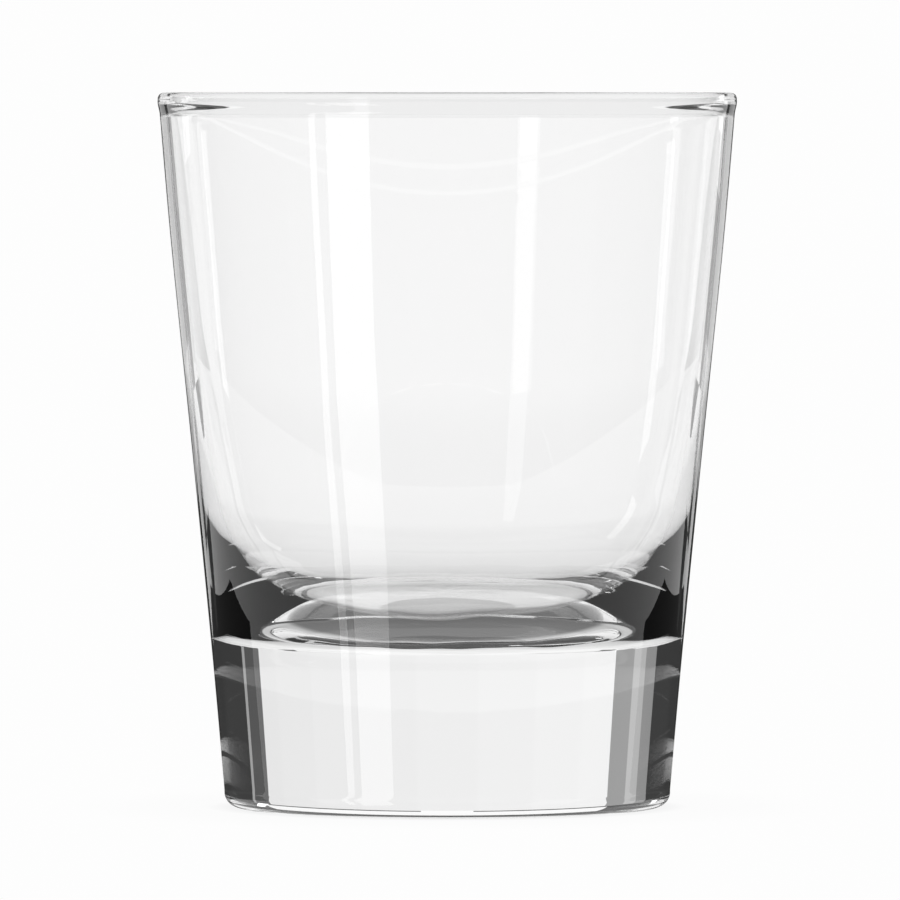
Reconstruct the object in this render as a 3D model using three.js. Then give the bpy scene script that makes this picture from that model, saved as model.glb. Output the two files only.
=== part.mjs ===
// Whiskey tumbler: one body of clear glass, with a thick solid base and a thin flared wall.
// Millimetres, +Z up. The origin is the centre of the flat face that the tumbler stands on.
// The body is turned about +Z from one closed outline, drawn as radius and height.

import * as THREE from 'three';

// ---- Driving dimensions, in millimetres and degrees ----

const HEIGHT = 105; // from the standing face to the top of the rim

const HEEL_RADIUS = 2.2; // rounding between the standing face and the side
const FOOT_RADIUS = 32.78; // outside radius, just above the heel
const FOOT_HEIGHT = 2.6; // where the side starts

// Outside radius and height where the taper of the side changes a little.
const SIDE_STATIONS = [
  [34.6, 23],
  [37.5, 52.5],
  [40.5, 82],
];
const NECK_RADIUS = 42.22; // outside radius under the rim bead
const NECK_HEIGHT = 101.8;
const SIDE_TILT = 5; // lean of the side from the vertical at the neck

const RIM_RADIUS = 42.53; // widest point of the rounded rim bead
const BEAD_RADIUS = 0.97; // half the thickness of the bead
const BEAD_START = -8; // angles on the bead where it leaves the side and meets the wall inside
const BEAD_END = 190;

const FLOOR_HEIGHT = 23.87; // lowest point of the inside, over the solid base
const FLOOR_RADIUS = 18.18; // edge of the middle of the floor
const FLOOR_DISH = 253.8; // the middle of the floor is a shallow dish of this radius

// The inside rises from the floor in arcs that run smoothly into each other. Each arc has a
// radius, and ends where the surface leans outward from the vertical by its tilt. The last
// tilt is that of the straight wall above.
const BOWL_ARCS = [
  { radius: 13.68, tilt: 41.8 },
  { radius: 21.5, tilt: 22.8 },
  { radius: 40, tilt: 14.26 },
  { radius: 52, tilt: 10.5 },
  { radius: 333, tilt: 5.8 },
];
const WALL_TOP = 101.4; // height where the straight inside wall starts to curve into the bead

const FACETS = 64; // flats around the turned body

// ---- Outline, from the axis under the base, up the outside, over the rim and down the inside ----

function arcPoints(centre, radius, from, to, steps) {
  const points = [];
  for (let i = 0; i <= steps; i += 1) {
    const angle = THREE.MathUtils.degToRad(THREE.MathUtils.lerp(from, to, i / steps));
    points.push(new THREE.Vector2(
      centre.x + radius * Math.cos(angle),
      centre.y + radius * Math.sin(angle),
    ));
  }
  return points;
}

// A smooth curve that leaves its start and reaches its end at the given tilts, outward from the vertical.
function bendPoints(start, startTilt, end, endTilt, steps) {
  const reach = (end.y - start.y) / 3;
  const [leave, arrive] = [startTilt, endTilt].map((tilt) => {
    const lean = THREE.MathUtils.degToRad(tilt);
    return new THREE.Vector2(reach * Math.sin(lean), reach * Math.cos(lean));
  });
  const curve = new THREE.CubicBezierCurve(start, start.clone().add(leave), end.clone().sub(arrive), end);
  return curve.getPoints(steps).slice(1);
}

function basePoints() {
  const heelCentre = new THREE.Vector2(FOOT_RADIUS - HEEL_RADIUS, HEEL_RADIUS);
  const axisPoint = new THREE.Vector2(0, 0);
  return [axisPoint, ...arcPoints(heelCentre, HEEL_RADIUS, -90, -6, 6)];
}

function sidePoints() {
  const stations = [[FOOT_RADIUS, FOOT_HEIGHT], ...SIDE_STATIONS, [NECK_RADIUS, NECK_HEIGHT]];
  const side = new THREE.SplineCurve(stations.map(([radius, height]) => new THREE.Vector2(radius, height)));
  const points = side.getPoints(8);
  const neck = points[points.length - 1];
  return [...points, ...bendPoints(neck, SIDE_TILT, rimPoints()[0], BEAD_START, 5).slice(0, -1)];
}

function rimPoints() {
  const centre = new THREE.Vector2(RIM_RADIUS - BEAD_RADIUS, HEIGHT - BEAD_RADIUS);
  return arcPoints(centre, BEAD_RADIUS, BEAD_START, BEAD_END, 10);
}

// The inside, listed upward from the axis to the rim bead.
function bowlPoints() {
  const dishAngle = THREE.MathUtils.radToDeg(Math.asin(FLOOR_RADIUS / FLOOR_DISH));
  const dishCentre = new THREE.Vector2(0, FLOOR_HEIGHT + FLOOR_DISH);
  const points = arcPoints(dishCentre, FLOOR_DISH, -90, dishAngle - 90, 3);
  let tilt = 90 - dishAngle;
  for (const arc of BOWL_ARCS) {
    const start = points[points.length - 1];
    const lean = THREE.MathUtils.degToRad(tilt);
    const centre = new THREE.Vector2(
      start.x - arc.radius * Math.cos(lean),
      start.y + arc.radius * Math.sin(lean),
    );
    const steps = Math.max(2, Math.round((tilt - arc.tilt) / 6));
    points.push(...arcPoints(centre, arc.radius, -tilt, -arc.tilt, steps).slice(1));
    tilt = arc.tilt;
  }
  const low = points[points.length - 1];
  const spread = Math.tan(THREE.MathUtils.degToRad(tilt)) * (WALL_TOP - low.y);
  const wallTop = new THREE.Vector2(low.x + spread, WALL_TOP);
  const beadEnd = rimPoints().pop();
  return [...points, wallTop, ...bendPoints(wallTop, tilt, beadEnd, 180 - BEAD_END, 5).slice(0, -1)];
}

function outline() {
  return [...basePoints(), ...sidePoints(), ...rimPoints(), ...bowlPoints().reverse()];
}

// ---- The glass body ----

function glassBody() {
  const geometry = new THREE.LatheGeometry(outline(), FACETS);
  geometry.rotateX(Math.PI / 2); // the lathe turns about Y; the tumbler stands on Z
  const material = new THREE.MeshStandardMaterial({
    color: 0xeef1f0,
    roughness: 0.03,
    metalness: 0,
    transparent: true,
    opacity: 0.35,
  });
  const mesh = new THREE.Mesh(geometry, material);
  mesh.name = 'glass_body';
  return mesh;
}

const tumbler = new THREE.Group();
tumbler.add(glassBody());

export default tumbler;
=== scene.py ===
"""Looks for the whiskey tumbler: one body of clear glass on a pale table, in a studio of glowing cards."""
import math

import bpy
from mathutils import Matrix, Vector


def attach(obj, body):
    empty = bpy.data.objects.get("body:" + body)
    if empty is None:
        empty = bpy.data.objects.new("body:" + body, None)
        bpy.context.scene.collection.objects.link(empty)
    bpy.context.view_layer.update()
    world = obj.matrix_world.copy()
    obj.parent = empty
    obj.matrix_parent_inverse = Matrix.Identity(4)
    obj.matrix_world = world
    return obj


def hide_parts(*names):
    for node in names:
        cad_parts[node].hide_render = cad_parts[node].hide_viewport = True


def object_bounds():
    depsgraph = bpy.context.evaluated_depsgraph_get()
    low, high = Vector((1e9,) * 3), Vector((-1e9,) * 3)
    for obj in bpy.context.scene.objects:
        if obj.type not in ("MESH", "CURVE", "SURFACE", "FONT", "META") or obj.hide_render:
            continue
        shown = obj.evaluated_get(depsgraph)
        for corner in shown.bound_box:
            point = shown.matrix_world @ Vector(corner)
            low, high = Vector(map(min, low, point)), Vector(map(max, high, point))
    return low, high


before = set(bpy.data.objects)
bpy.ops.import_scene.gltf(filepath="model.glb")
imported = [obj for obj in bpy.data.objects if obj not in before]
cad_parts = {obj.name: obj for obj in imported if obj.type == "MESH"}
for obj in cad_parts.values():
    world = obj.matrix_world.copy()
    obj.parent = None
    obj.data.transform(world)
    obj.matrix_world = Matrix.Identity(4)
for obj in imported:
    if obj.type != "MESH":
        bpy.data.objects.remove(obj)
CAD_LOW, CAD_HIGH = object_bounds()

# ---- Outline of the glass, in millimetres and degrees: the same dimensions as the CAD body ----

HEIGHT = 105.0
HEEL_RADIUS = 2.2
FOOT_RADIUS = 32.78
FOOT_HEIGHT = 2.6
SIDE_STATIONS = [(34.6, 23.0), (37.5, 52.5), (40.5, 82.0)]
NECK = (42.22, 101.8)
SIDE_TILT = 5.0  # lean of the side from the vertical at the neck
RIM_RADIUS = 42.53
BEAD_RADIUS = 0.97
BEAD_START = -8.0  # angles on the bead where it leaves the side and meets the wall inside
BEAD_END = 190.0
FLOOR_HEIGHT = 23.87
FLOOR_RADIUS = 18.18
FLOOR_DISH = 253.8
BOWL_ARCS = [(13.68, 41.8), (21.5, 22.8), (40.0, 14.26), (52.0, 10.5), (333.0, 5.8)]  # radius, end tilt
WALL_TOP = 101.4  # height where the straight wall starts to curve into the bead

AROUND = 288  # steps round the turned body
WALL_STEPS = 12  # steps up the straight wall inside

MM = (CAD_HIGH.z - CAD_LOW.z) / HEIGHT  # metres in a millimetre of the outline


def arc_points(centre, radius, start, end, steps):
    points = []
    for i in range(steps + 1):
        angle = math.radians(start + (end - start) * i / steps)
        points.append((centre[0] + radius * math.cos(angle), centre[1] + radius * math.sin(angle)))
    return points


def cubic_point(start, leave, end, arrive, t):
    """The point at t, from 0 to 1, on the cubic that leaves start and arrives at end with these slopes."""
    point = []
    for axis in range(2):
        cubic = 2 * start[axis] - 2 * end[axis] + leave[axis] + arrive[axis]
        square = -3 * start[axis] + 3 * end[axis] - 2 * leave[axis] - arrive[axis]
        point.append(cubic * t**3 + square * t**2 + leave[axis] * t + start[axis])
    return tuple(point)


def smooth_curve(stations, steps):
    """Catmull-Rom curve through the stations."""
    points = []
    for i in range(len(stations) - 1):
        before = stations[max(i - 1, 0)]
        start, end = stations[i], stations[i + 1]
        after = stations[min(i + 2, len(stations) - 1)]
        leave = [(end[axis] - before[axis]) / 2 for axis in range(2)]
        arrive = [(after[axis] - start[axis]) / 2 for axis in range(2)]
        points += [cubic_point(start, leave, end, arrive, k / steps) for k in range(steps)]
    return points + [stations[-1]]


def bend(start, start_tilt, end, end_tilt, steps=12):
    """A smooth curve between two points that leaves and arrives at the given tilts from the vertical."""
    reach = end[1] - start[1]
    leave, arrive = (
        (reach * math.sin(math.radians(tilt)), reach * math.cos(math.radians(tilt)))
        for tilt in (start_tilt, end_tilt)
    )
    return [cubic_point(start, leave, end, arrive, i / steps) for i in range(1, steps + 1)]


def base_points():
    flat = [(radius, 0.0) for radius in (0.0, 8.0, 16.0, 24.0)]
    centre = (FOOT_RADIUS - HEEL_RADIUS, HEEL_RADIUS)
    return flat + arc_points(centre, HEEL_RADIUS, -90, -6, 14)


def side_points():
    side = smooth_curve([(FOOT_RADIUS, FOOT_HEIGHT), *SIDE_STATIONS, NECK], 16)
    return side + bend(NECK, SIDE_TILT, rim_points()[0], BEAD_START)[:-1]


def rim_points():
    centre = (RIM_RADIUS - BEAD_RADIUS, HEIGHT - BEAD_RADIUS)
    return arc_points(centre, BEAD_RADIUS, BEAD_START, BEAD_END, 28)


def bowl_points():
    """The inside, upward from the axis."""
    edge = math.degrees(math.asin(FLOOR_RADIUS / FLOOR_DISH))
    points = arc_points((0.0, FLOOR_HEIGHT + FLOOR_DISH), FLOOR_DISH, -90, -90 + edge, 10)
    tilt = 90 - edge
    for radius, end in BOWL_ARCS:
        lean = math.radians(tilt)
        start = points[-1]
        centre = (start[0] - radius * math.cos(lean), start[1] + radius * math.sin(lean))
        steps = max(4, round((tilt - end) * 1.2))
        points += arc_points(centre, radius, -tilt, -end, steps)[1:]
        tilt = end
    low = points[-1]
    slope = math.tan(math.radians(tilt))
    for i in range(1, WALL_STEPS + 1):
        rise = (WALL_TOP - low[1]) * i / WALL_STEPS
        points.append((low[0] + slope * rise, low[1] + rise))
    return points + bend(points[-1], tilt, rim_points()[-1], 180 - BEAD_END)[:-1]


def outline():
    return [*base_points(), *side_points(), *rim_points(), *reversed(bowl_points())]


# Waves that pressing leaves in the floor and corner of the bowl: lobes round the axis, radians
# per millimetre outward, phase, and height in millimetres.
WAVES = [
    (3, 0.2, 0.4, 0.03),
    (5, -0.33, 2.1, 0.02),
    (8, 0.9, 1.0, 0.022),
    (13, -1.3, 4.0, 0.012),
    (21, 1.1, 2.7, 0.006),
]
WAVES_START = 8.0  # radius where they reach full height
WAVES_FADE = (46.0, 34.0)  # heights between which they fade out, going down to full height
INSIDE = (20.0, 34.3)  # only the bowl lies above this height and within this radius


def unevenness(radius, height, angle):
    """How far a point of the body is raised by the waves, in millimetres."""
    if height < INSIDE[0] or radius > INSIDE[1]:
        return 0.0
    fade = min(1.0, max(0.0, (WAVES_FADE[0] - height) / (WAVES_FADE[0] - WAVES_FADE[1])))
    wave = 0.0
    for lobes, pitch, phase, size in WAVES:
        wave += size * math.sin(lobes * angle + pitch * radius + phase)
    return wave * fade * min(1.0, radius / WAVES_START)


def turned_mesh(name, points):
    """A closed body turned about Z from an outline that starts and ends on the axis."""
    vertices = []
    rings = []
    for radius, height in points:
        if radius < 1e-6:
            rings.append([len(vertices)] * AROUND)
            vertices.append((0.0, 0.0, height * MM))
            continue
        ring = []
        for j in range(AROUND):
            angle = 2 * math.pi * j / AROUND
            ring.append(len(vertices))
            top = (height + unevenness(radius, height, angle)) * MM
            vertices.append((radius * MM * math.cos(angle), radius * MM * math.sin(angle), top))
        rings.append(ring)
    faces = []
    for low, high in zip(rings, rings[1:]):
        for j in range(AROUND):
            k = (j + 1) % AROUND
            corners = [low[j], low[k], high[k], high[j]]
            faces.append(tuple(dict.fromkeys(corners)))
    mesh = bpy.data.meshes.new(name)
    mesh.from_pydata(vertices, [], faces)
    mesh.update()
    mesh.shade_smooth()
    return mesh


def add_object(name, mesh):
    made = bpy.data.objects.new(name, mesh)
    bpy.context.scene.collection.objects.link(made)
    return made


# ---- Glass ----

REFRACTION = 1.5
SCUFF_HEIGHT = 0.8  # mm above the table, where the wear on the standing ring ends
SCUFF_SPACING = 0.9  # mm
SCUFF_ROUGHNESS = 0.35
SCUFF_CONTRAST = 4.0  # a higher power leaves fewer, sharper scuffs
RIPPLE_SPACING = 14.0  # mm from one soft wave of the pressed surface to the next
RIPPLE_DEPTH = 0.0015  # mm


def math_node(tree, operation, first, second):
    """The result of a Math node, kept from 0 to 1. Each value is a number or another node's output."""
    node = tree.nodes.new("ShaderNodeMath")
    node.operation = operation
    node.use_clamp = True
    for socket, value in zip(node.inputs, (first, second)):
        if isinstance(value, (int, float)):
            socket.default_value = value
        else:
            tree.links.new(value, socket)
    return node.outputs[0]


def noise_node(tree, place, spacing, detail):
    """Noise whose patches are about the given number of millimetres apart."""
    node = tree.nodes.new("ShaderNodeTexNoise")
    node.inputs["Scale"].default_value = 1 / (spacing * MM)
    node.inputs["Detail"].default_value = detail
    tree.links.new(place, node.inputs["Vector"])
    return node.outputs["Fac"]


def clear_glass():
    """Clear glass, softly rippled from the mould, with fine scuffs where it stands on the table."""
    material = bpy.data.materials.new("clear_glass")
    material.use_nodes = True
    tree = material.node_tree
    shader = tree.nodes["Principled BSDF"]
    shader.inputs["Base Color"].default_value = (1, 1, 1, 1)
    shader.inputs["Transmission Weight"].default_value = 1.0
    shader.inputs["IOR"].default_value = REFRACTION
    place = tree.nodes.new("ShaderNodeTexCoord").outputs["Object"]
    split = tree.nodes.new("ShaderNodeSeparateXYZ")
    tree.links.new(place, split.inputs[0])
    above = math_node(tree, "DIVIDE", split.outputs["Z"], SCUFF_HEIGHT * MM)
    standing = math_node(tree, "SUBTRACT", 1.0, above)
    scuffs = math_node(tree, "POWER", noise_node(tree, place, SCUFF_SPACING, 4.0), SCUFF_CONTRAST)
    worn = math_node(tree, "MULTIPLY", standing, scuffs)
    roughness = math_node(tree, "MULTIPLY", worn, SCUFF_ROUGHNESS)
    tree.links.new(roughness, shader.inputs["Roughness"])
    bump = tree.nodes.new("ShaderNodeBump")
    bump.inputs["Distance"].default_value = RIPPLE_DEPTH * MM
    tree.links.new(noise_node(tree, place, RIPPLE_SPACING, 1.0), bump.inputs["Height"])
    tree.links.new(bump.outputs["Normal"], shader.inputs["Normal"])
    return material


glass = add_object("glass_body_clear", turned_mesh("glass_body_clear", outline()))
glass.data.materials.append(clear_glass())
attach(glass, "root")
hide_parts("glass_body")

# ---- Studio cards. They show in the glass, and the camera doesn't see them. ----
# Azimuths are in degrees from +Y, behind the tumbler, towards +X. Elevations are in degrees above
# the table. Reaches are metres from the axis, and where cards overlap the nearer one is seen.

BACKDROP = 0.985  # brightness of the backdrop and the open table
OVERHEAD = 13.5  # elevation where the dark ceiling starts

# Far cards: name, azimuths, elevations, brightness, reach.
FAR_CARDS = [
    ("flag_right_outer", (49.5, 110), (0, OVERHEAD), 0.045, 9.9),
    ("flag_right_line", (48, 49.5), (0, OVERHEAD), 0.4, 9.9),
    ("flag_right_inner", (41, 48), (0, OVERHEAD), 0.1, 9.9),
    ("flag_left_outer", (-110, -52), (0, OVERHEAD), 0.045, 9.9),
    ("flag_left_edge", (-52, -46), (0, OVERHEAD), 0.32, 9.9),
    ("flag_left_middle", (-46, -40.5), (0, OVERHEAD), 0.52, 9.9),
    ("flag_left_inner", (-40.5, -33.7), (0, OVERHEAD), 0.32, 9.9),
    ("room", (110, 250), (0, OVERHEAD), 0.12, 10.0),
    ("overhead", (-180, 180), (OVERHEAD, 90), 0.06, 9.85),
]

# Upright strips, lit ones in front and dark ones low at the sides: name, reach, brightness, and
# stations of a height in millimetres with the azimuths of the two edges there.
STRIPS = [
    (
        "strip_wide",
        1.0,
        3.0,
        [(0, -149.1, -131.2), (-145, -148.9, -130.8), (-190, -151.8, -135.0), (-250, -153.5, -137.0)],
    ),
    (
        "strip_narrow",
        1.0,
        3.0,
        [(0, -126.0, -123.4), (-145, -127.1, -123.9), (-190, -131.4, -127.4), (-250, -132.9, -130.2)],
    ),
    ("strip_d", 1.0, 1.3, [(180, -148.9, -139.9), (330, -148.9, -139.9), (650, -146.3, -140.3)]),
    ("low_edge_left", 1.0, 0.07, [(-190, -75, -16), (-120, -70, -16), (-90, -55, -16), (-45, -26, -16)]),
    ("low_edge_right", 1.0, 0.07, [(-190, 16, 75), (-120, 16, 70), (-90, 16, 55), (-45, 16, 26)]),
    ("strip_a", 0.3, 1.7, [(75, 37, 42), (150, 43, 48)]),
    ("strip_e", 0.3, 1.7, [(75, -59, -53), (150, -65, -59)]),
]

# Sheets that lie on the table, mirrored left and right: name, azimuths, reaches, brightness.
LOW_CARDS = [
    ("low", (12, 26.5), (0.9, 2.4, 8.0), 0.62),
    ("low_line", (26.5, 31), (0.5, 8.0), 0.12),
]
SHEET_LIFT = 1.0  # mm above the table
SHEET_RISE = 103.0  # mm that a sheet climbs between the two reaches below
SHEET_CLIMBS = (0.9, 8.0)

WEDGE = [(31, 38, 0.5), (32.5, 38.5, 0.41), (35.5, 37.5, 0.29)]  # azimuths and reach of each row
WEDGE_TONE = 0.12
EDGE_CARD = ((4, 16), (-14, 6), 0.05, 9.8)  # azimuths, elevations, brightness, reach

BEHIND_COUNT = 8  # cards side by side behind the tumbler, a little darker towards the right
BEHIND_START = -35
BEHIND_WIDTH = 10
BEHIND_TONE = 0.93
BEHIND_STEP = 0.015


def glow(name, value):
    """A material that gives light evenly and isn't sampled as a lamp."""
    material = bpy.data.materials.new(name)
    material.use_nodes = True
    tree = material.node_tree
    tree.nodes.clear()
    light = tree.nodes.new("ShaderNodeEmission")
    light.inputs["Color"].default_value = (1, 1, 1, 1)
    light.inputs["Strength"].default_value = value
    out = tree.nodes.new("ShaderNodeOutputMaterial")
    tree.links.new(light.outputs["Emission"], out.inputs["Surface"])
    material.cycles.emission_sampling = "NONE"
    return material


def card_from_rows(name, rows, value):
    """A lit or dark card from rows of points."""
    columns = len(rows[0])
    vertices = [point for row in rows for point in row]
    faces = []
    for i in range(len(rows) - 1):
        for j in range(columns - 1):
            a = i * columns + j
            faces.append((a, a + 1, a + columns + 1, a + columns))
    mesh = bpy.data.meshes.new(name)
    mesh.from_pydata(vertices, [], faces)
    mesh.materials.append(glow(name, value))
    card = add_object(name, mesh)
    card.visible_camera = False
    card.visible_shadow = False
    return card


def bearings(azimuths, columns=24):
    """Unit directions on the level between two azimuths."""
    start, end = azimuths
    turns = [math.radians(start + (end - start) * j / columns) for j in range(columns + 1)]
    return [Vector((math.sin(turn), math.cos(turn), 0)) for turn in turns]


def level_row(azimuths, reach, height, columns=24):
    """Points at one reach in metres and one height in millimetres."""
    lift = Vector((0, 0, height * MM))
    return [way * reach + lift for way in bearings(azimuths, columns)]


def far_card(name, azimuths, elevations, value, reach, rows=12):
    """A card on a sphere round the tumbler."""
    low, high = elevations
    points = []
    for i in range(rows + 1):
        up = math.radians(low + (high - low) * i / rows)
        lift = Vector((0, 0, math.sin(up)))
        points.append([(way * math.cos(up) + lift) * reach for way in bearings(azimuths)])
    return card_from_rows(name, points, value)


def refracted_card(name, azimuths, elevations, value, reach):
    """A far card that shows only through the glass, not in reflections from it."""
    card = far_card(name, azimuths, elevations, value, reach)
    card.visible_glossy = False


def strip_card(name, reach, value, stations):
    card_from_rows(name, [level_row(edges, reach, height, 6) for height, *edges in stations], value)


def sheet_height(reach):
    """Height of a sheet on the table in millimetres. It stays flat near the tumbler and climbs beyond."""
    start, end = SHEET_CLIMBS
    return SHEET_LIFT + SHEET_RISE * max(0.0, reach - start) / (end - start)


def low_card(name, azimuths, reaches, value):
    card_from_rows(name, [level_row(azimuths, reach, sheet_height(reach)) for reach in reaches], value)


def side_cards(name, side):
    """The cards that come in pairs. side is -1 on the left and 1 on the right."""

    def mirrored(azimuths):
        return sorted(side * azimuth for azimuth in azimuths)

    for card_name, azimuths, reaches, value in LOW_CARDS:
        low_card(f"{card_name}_{name}", mirrored(azimuths), reaches, value)
    wedge = [level_row(mirrored(edges), reach, SHEET_LIFT, 6) for *edges, reach in WEDGE]
    card_from_rows(f"low_wedge_{name}", wedge, WEDGE_TONE)
    azimuths, elevations, value, reach = EDGE_CARD
    edge_card = far_card(f"edge_{name}", mirrored(azimuths), elevations, value, reach)
    edge_card.visible_transmission = False  # only for the thin dark outline that the glass reflects


for card_name, azimuths, elevations, value, reach in FAR_CARDS:
    far_card(card_name, azimuths, elevations, value, reach)
for card_name, reach, value, stations in STRIPS:
    strip_card(card_name, reach, value, stations)
side_cards("left", -1)
side_cards("right", 1)

for k in range(BEHIND_COUNT):
    start = BEHIND_START + BEHIND_WIDTH * k
    tone = BEHIND_TONE - BEHIND_STEP * k
    refracted_card(f"behind_{k}", (start, start + BEHIND_WIDTH), (0.2, OVERHEAD), tone, 9.95)
refracted_card("backdrop_top", (-4.5, 4.5), (OVERHEAD - 0.5, 30), BACKDROP, 9.7)
refracted_card("backdrop_high", (-35, 44), (16, 30), BACKDROP, 9.7)

# ---- Table: one for the camera and one seen through the glass, both with painted shade round the foot, and a disc of painted shade and light under the foot ----

TABLE_HALF = 8.0  # metres
TABLE_DROP = 0.03  # mm below the standing face
GLASS_TABLE_DROP = 0.02
FOOT_DROP = 0.01
FOOT_DISC = 33.0  # mm radius

# Millimetres from the axis with the brightness there. Painted shade: the table the camera sees glows darker
# round the foot.
OPEN_PAINTED_SHADE = [(0.0, 0.85), (31.0, 0.9), (36.0, 0.97), (60.0, BACKDROP)]
# Painted shade on the table seen through the glass: darker under and round the foot, brighter far out.
UNDER_PAINTED_SHADE = [
    (0.0, 0.7),
    (33.0, 0.7),
    (60.0, 0.8),
    (110.0, 0.88),
    (220.0, 0.925),
    (450.0, 0.94),
    (1200.0, BACKDROP),
]
# Painted shade and light under the foot: millimetres from the axis with the brightness, grey in the middle
# and at the edge with a pale ring between.
FOOT_PAINTED_SHADE_AND_LIGHT = [(0.0, 0.62), (11.6, 0.62), (12.6, 0.95), (21.5, 0.95), (24.0, 0.75), (33.0, 0.62)]
# Millimetres from the front edge of the disc to the back, with a share of that brightness: painted shade,
# darker on the front half.
FOOT_PAINTED_SHADE_ACROSS = [(0.0, 0.2), (28.0, 0.22), (35.0, 0.8), (42.0, 0.9), (66.0, 0.9)]


def tone_ramp(tree, distance, tones):
    """A grey that follows a distance in metres through the tones, which are given in millimetres."""
    reach = tones[-1][0]
    ramp = tree.nodes.new("ShaderNodeValToRGB")
    ramp.color_ramp.interpolation = "EASE"
    while len(ramp.color_ramp.elements) < len(tones):
        ramp.color_ramp.elements.new(0.5)
    for element, (place, tone) in zip(ramp.color_ramp.elements, tones):
        element.position = place / reach
        element.color = (tone, tone, tone, 1)
    tree.links.new(math_node(tree, "DIVIDE", distance, reach * MM), ramp.inputs["Fac"])
    return ramp.outputs["Color"]


def shade_across(tree, place, colour, across):
    """The colour, multiplied by the tones from front to back."""
    split = tree.nodes.new("ShaderNodeSeparateXYZ")
    tree.links.new(place, split.inputs[0])
    from_front = tree.nodes.new("ShaderNodeMath")
    from_front.inputs[1].default_value = across[-1][0] / 2 * MM
    tree.links.new(split.outputs["Y"], from_front.inputs[0])
    product = tree.nodes.new("ShaderNodeVectorMath")
    product.operation = "MULTIPLY"
    tree.links.new(colour, product.inputs[0])
    tree.links.new(tone_ramp(tree, from_front.outputs[0], across), product.inputs[1])
    return product.outputs[0]


def table_material(name, tones, across=None):
    """Pale and glowing, with painted shade toned from the axis outward and, with across, from front to back.
    """
    material = glow(name, 1.0)
    tree = material.node_tree
    place = tree.nodes.new("ShaderNodeTexCoord").outputs["Object"]
    length = tree.nodes.new("ShaderNodeVectorMath")
    length.operation = "LENGTH"
    tree.links.new(place, length.inputs[0])
    colour = tone_ramp(tree, length.outputs["Value"], tones)
    if across:
        colour = shade_across(tree, place, colour, across)
    tree.links.new(colour, tree.nodes["Emission"].inputs["Color"])
    return material


def table(name, tones, drop):
    mesh = bpy.data.meshes.new(name)
    corners = [(x * TABLE_HALF, y * TABLE_HALF, -drop * MM) for x, y in ((-1, -1), (1, -1), (1, 1), (-1, 1))]
    mesh.from_pydata(corners, [], [(0, 1, 2, 3)])
    mesh.materials.append(table_material(name, tones))
    made = add_object(name, mesh)
    made.visible_glossy = False
    return made


def foot_disc(rings=4):
    """Painted shade and light under the standing face, on a glowing disc. It shows only through the glass.
    """
    rows = [level_row((0, 360), FOOT_DISC * MM * k / rings, -FOOT_DROP, 48) for k in range(rings + 1)]
    disc = card_from_rows("foot_shade", rows, 1.0)
    disc.data.materials[0] = table_material("foot_shade_tone", FOOT_PAINTED_SHADE_AND_LIGHT, FOOT_PAINTED_SHADE_ACROSS)
    disc.visible_glossy = False


seen_table = table("table", OPEN_PAINTED_SHADE, TABLE_DROP)
seen_table.visible_transmission = False
glass_table = table("table_through_glass", UNDER_PAINTED_SHADE, GLASS_TABLE_DROP)
glass_table.visible_camera = False
foot_disc()

world = bpy.data.worlds.new("studio")
world.use_nodes = True
world.node_tree.nodes["Background"].inputs["Color"].default_value = (BACKDROP, BACKDROP, BACKDROP, 1)
world.cycles.sampling_method = "NONE"
bpy.context.scene.world = world
bpy.context.scene.view_settings.view_transform = "Standard"

# ---- Camera: level with the rim, looking slightly down on the base ----

FRAME_WIDTH = 132.27  # mm seen across the picture at the tumbler's axis
CAMERA_DISTANCE = 1820.0
AIM = (0.4, 52.45)  # sideways and height of the middle of the picture
SENSOR_WIDTH = 36.0
CLIP_END = 100.0  # metres


def camera():
    data = bpy.data.cameras.new("camera")
    made = add_object("camera", data)
    target = Vector((AIM[0] * MM, 0, AIM[1] * MM))
    made.location = Vector((AIM[0] * MM, -CAMERA_DISTANCE * MM, HEIGHT * MM))
    made.rotation_mode = "QUATERNION"
    made.rotation_quaternion = (target - made.location).to_track_quat("-Z", "Y")
    data.sensor_width = SENSOR_WIDTH
    data.lens = SENSOR_WIDTH * (target - made.location).length / (FRAME_WIDTH * MM)
    data.clip_end = CLIP_END
    bpy.context.scene.camera = made


camera()
